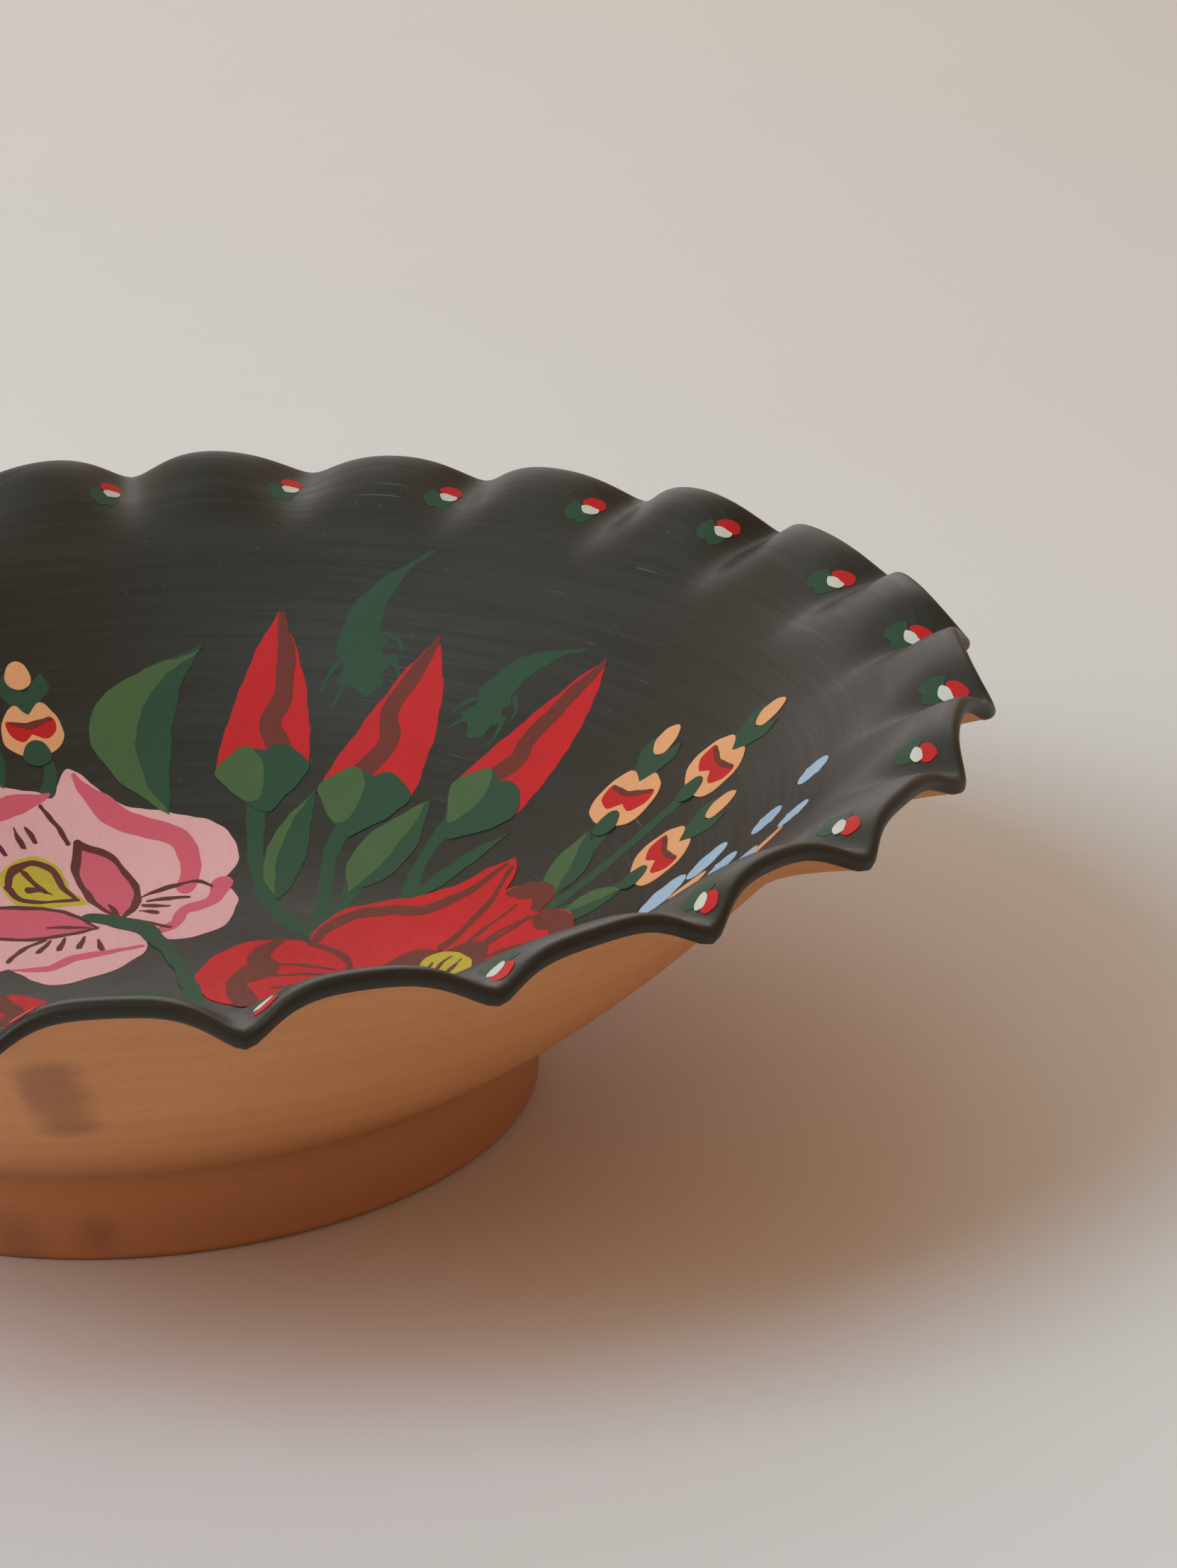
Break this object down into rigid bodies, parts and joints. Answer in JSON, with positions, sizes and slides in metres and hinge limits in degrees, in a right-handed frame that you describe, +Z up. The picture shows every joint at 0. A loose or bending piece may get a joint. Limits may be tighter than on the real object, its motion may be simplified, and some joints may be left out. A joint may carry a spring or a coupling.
{
  "type": "fluted bowl",
  "caption": "Round earthenware bowl with a fluted, flared rim on a low foot ring, painted black inside with flowers and peppers, for fruit or small dry things.",
  "frame": {"origin": "on the bowl's axis, at the surface the foot ring stands on", "axes": "+Z up along the bowl's axis; +Y towards the low corner between two flutes"},
  "size_m": [0.2508, 0.2504, 0.0642],
  "materials": {
    "terracotta": "bare fired earthenware, smooth and matt, with darker blotches",
    "black_paint": "brushed satin black paint under clear lacquer",
    "red_paint": "brushed paint",
    "dark_red_paint": "brushed paint",
    "light_green_paint": "brushed paint",
    "dark_green_paint": "brushed paint",
    "pink_paint": "brushed paint",
    "deep_pink_paint": "brushed paint",
    "brown_paint": "brushed paint",
    "yellow_paint": "brushed paint",
    "peach_paint": "brushed paint",
    "blue_paint": "brushed paint",
    "white_paint": "brushed paint"
  },
  "bodies": {
    "root": {"bowl_body": "terracotta", "foot_ring": "terracotta", "black_coat": "black_paint"}
  },
  "joints": []
}
